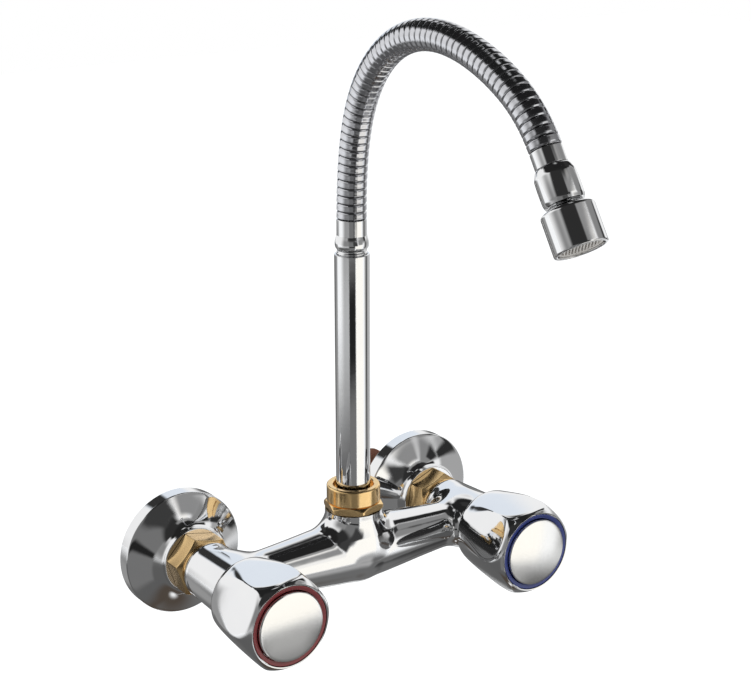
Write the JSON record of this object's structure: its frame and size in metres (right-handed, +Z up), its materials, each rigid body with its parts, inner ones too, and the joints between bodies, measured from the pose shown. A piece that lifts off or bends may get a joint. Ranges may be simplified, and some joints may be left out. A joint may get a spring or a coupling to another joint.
{
  "type": "two handle kitchen faucet",
  "caption": "Wall-mounted two handle kitchen faucet in bright chrome, with brass union nuts, a straight riser, a flexible ribbed spout and a swivelling nozzle.",
  "frame": {"origin": "on the wall's face, half way between the two inlet axes, at their height", "axes": "+X to the user's right, +Y into the wall, +Z up"},
  "size_m": [0.2158, 0.2524, 0.3139],
  "materials": {
    "chrome": "bright chrome plate over brass",
    "satin_chrome": "polished cap, lightly brushed",
    "brass": "machined brass, bare",
    "dark_brass": "brass, oxidised reddish brown",
    "sleeve_steel": "bright stainless strip",
    "screw_steel": "stainless steel",
    "rubber": "black nitrile rubber",
    "ceramic": "white alumina ceramic",
    "white_plastic": "off-white acetal",
    "red_plastic": "dark red plastic",
    "blue_plastic": "dark blue plastic"
  },
  "bodies": {
    "fixture": {"faucet_body": "chrome", "hot_wall_flange": "chrome", "hot_offset_connector": "dark_brass", "hot_union_nut": "brass", "hot_union_washer": "rubber", "hot_bonnet": "brass", "hot_bonnet_gasket": "rubber", "hot_seat_seal": "rubber", "hot_fixed_disc": "ceramic", "cold_wall_flange": "chrome", "cold_offset_connector": "dark_brass", "cold_union_nut": "brass", "cold_union_washer": "rubber", "cold_bonnet": "brass", "cold_bonnet_gasket": "rubber", "cold_seat_seal": "rubber", "cold_fixed_disc": "ceramic", "spout_nut": "brass"},
    "hot_handle_turning": {"hot_handle": "chrome", "hot_handle_screw": "screw_steel", "hot_index_ring": "red_plastic", "hot_handle_cap": "satin_chrome", "hot_spindle": "brass", "hot_moving_disc": "ceramic"},
    "cold_handle_turning": {"cold_handle": "chrome", "cold_handle_screw": "screw_steel", "cold_index_ring": "blue_plastic", "cold_handle_cap": "satin_chrome", "cold_spindle": "brass", "cold_moving_disc": "ceramic"},
    "spout": {"riser_pipe": "chrome", "riser_slip_ring": "white_plastic", "riser_lower_seal": "rubber", "riser_upper_seal": "rubber", "hose_ferrule": "chrome", "hose_sleeve_01": "sleeve_steel", "water_hose": "white_plastic"},
    "hose_stretch_02": {"hose_sleeve_02": "sleeve_steel"},
    "hose_stretch_03": {"hose_sleeve_03": "sleeve_steel"},
    "hose_stretch_04": {"hose_sleeve_04": "sleeve_steel"},
    "hose_stretch_05": {"hose_sleeve_05": "sleeve_steel"},
    "hose_stretch_06": {"hose_sleeve_06": "sleeve_steel"},
    "hose_stretch_07": {"hose_sleeve_07": "sleeve_steel"},
    "hose_stretch_08": {"hose_sleeve_08": "sleeve_steel"},
    "hose_stretch_09": {"hose_sleeve_09": "sleeve_steel"},
    "hose_stretch_10": {"hose_sleeve_10": "sleeve_steel"},
    "hose_stretch_11": {"hose_sleeve_11": "sleeve_steel"},
    "hose_stretch_12": {"hose_sleeve_12": "sleeve_steel"},
    "hose_stretch_13": {"hose_sleeve_13": "sleeve_steel"},
    "hose_stretch_14": {"hose_sleeve_14": "sleeve_steel", "hose_collar": "chrome", "swivel_housing": "chrome"},
    "ball_seat_ring": {"ball_seat": "white_plastic"},
    "nozzle": {"nozzle_shell": "chrome", "nozzle_gasket": "rubber", "jet_insert": "white_plastic"}
  },
  "joints": [
    {"name": "hot_handle_turn", "type": "hinge", "parent": "fixture", "child": "hot_handle_turning", "pos_m": [-0.075, -0.0542, 0], "axis": [0, -1, 0], "range_deg": [-180, 0]},
    {"name": "cold_handle_turn", "type": "hinge", "parent": "fixture", "child": "cold_handle_turning", "pos_m": [0.075, -0.0542, 0], "axis": [0, -1, 0], "range_deg": [0, 180]},
    {"name": "spout_swivel", "type": "hinge", "parent": "fixture", "child": "spout", "pos_m": [0, -0.0542, 0.02], "axis": [0, 0, 1], "continuous": true},
    {"name": "hose_flex_01", "type": "hinge", "parent": "spout", "child": "hose_stretch_02", "pos_m": [0, -0.05468, 0.19299], "axis": [1, 0, 0], "range_deg": [-4.2, 1.12]},
    {"name": "hose_flex_02", "type": "hinge", "parent": "hose_stretch_02", "child": "hose_stretch_03", "pos_m": [0, -0.05629, 0.2089], "axis": [1, 0, 0], "range_deg": [-6.45, 1.69]},
    {"name": "hose_flex_03", "type": "hinge", "parent": "hose_stretch_03", "child": "hose_stretch_04", "pos_m": [0, -0.05966, 0.22453], "axis": [1, 0, 0], "range_deg": [-9.65, 2.49]},
    {"name": "hose_flex_04", "type": "hinge", "parent": "hose_stretch_04", "child": "hose_stretch_05", "pos_m": [0, -0.06556, 0.23938], "axis": [1, 0, 0], "range_deg": [-12.45, 3.11], "deforming": ["water_hose"]},
    {"name": "hose_flex_05", "type": "hinge", "parent": "hose_stretch_05", "child": "hose_stretch_06", "pos_m": [0, -0.07452, 0.25259], "axis": [1, 0, 0], "range_deg": [-14.6, 3.73]},
    {"name": "hose_flex_06", "type": "hinge", "parent": "hose_stretch_06", "child": "hose_stretch_07", "pos_m": [0, -0.0865, 0.26312], "axis": [1, 0, 0], "range_deg": [-15.3, 3.83]},
    {"name": "hose_flex_07", "type": "hinge", "parent": "hose_stretch_07", "child": "hose_stretch_08", "pos_m": [0, -0.10083, 0.27013], "axis": [1, 0, 0], "range_deg": [-14.7, 3.75]},
    {"name": "hose_flex_08", "type": "hinge", "parent": "hose_stretch_08", "child": "hose_stretch_09", "pos_m": [0, -0.11647, 0.2733], "axis": [1, 0, 0], "range_deg": [-12.85, 3.29]},
    {"name": "hose_flex_09", "type": "hinge", "parent": "hose_stretch_09", "child": "hose_stretch_10", "pos_m": [0, -0.13244, 0.27294], "axis": [1, 0, 0], "range_deg": [-10.45, 2.69]},
    {"name": "hose_flex_10", "type": "hinge", "parent": "hose_stretch_10", "child": "hose_stretch_11", "pos_m": [0, -0.1481, 0.26971], "axis": [1, 0, 0], "range_deg": [-8.3, 2.15]},
    {"name": "hose_flex_11", "type": "hinge", "parent": "hose_stretch_11", "child": "hose_stretch_12", "pos_m": [0, -0.16314, 0.26428], "axis": [1, 0, 0], "range_deg": [-7.65, 1.99]},
    {"name": "hose_flex_12", "type": "hinge", "parent": "hose_stretch_12", "child": "hose_stretch_13", "pos_m": [0, -0.17733, 0.25692], "axis": [1, 0, 0], "range_deg": [-10.35, 2.66]},
    {"name": "hose_flex_13", "type": "hinge", "parent": "hose_stretch_13", "child": "hose_stretch_14", "pos_m": [0, -0.18997, 0.24717], "axis": [1, 0, 0], "range_deg": [-12.9, 3.22]},
    {"name": "nozzle_spin", "type": "hinge", "parent": "hose_stretch_14", "child": "ball_seat_ring", "pos_m": [0, -0.21956, 0.20478], "axis": [0, -0.5432, -0.8396], "continuous": true},
    {"name": "nozzle_tilt", "type": "hinge", "parent": "ball_seat_ring", "child": "nozzle", "pos_m": [0, -0.21956, 0.20478], "axis": [1, 0, 0], "range_deg": [-10, 10]}
  ],
  "couplings": [
    {"joint": "hose_flex_01", "follows": "hose_flex_04", "ratio": 0.3293},
    {"joint": "hose_flex_02", "follows": "hose_flex_04", "ratio": 0.51},
    {"joint": "hose_flex_03", "follows": "hose_flex_04", "ratio": 0.7671},
    {"joint": "hose_flex_05", "follows": "hose_flex_06", "ratio": 0.9477},
    {"joint": "hose_flex_07", "follows": "hose_flex_06", "ratio": 0.9542},
    {"joint": "hose_flex_08", "follows": "hose_flex_06", "ratio": 0.8333},
    {"joint": "hose_flex_09", "follows": "hose_flex_06", "ratio": 0.6765},
    {"joint": "hose_flex_10", "follows": "hose_flex_13", "ratio": 0.6357},
    {"joint": "hose_flex_11", "follows": "hose_flex_13", "ratio": 0.5853},
    {"joint": "hose_flex_12", "follows": "hose_flex_13", "ratio": 0.7946}
  ]
}
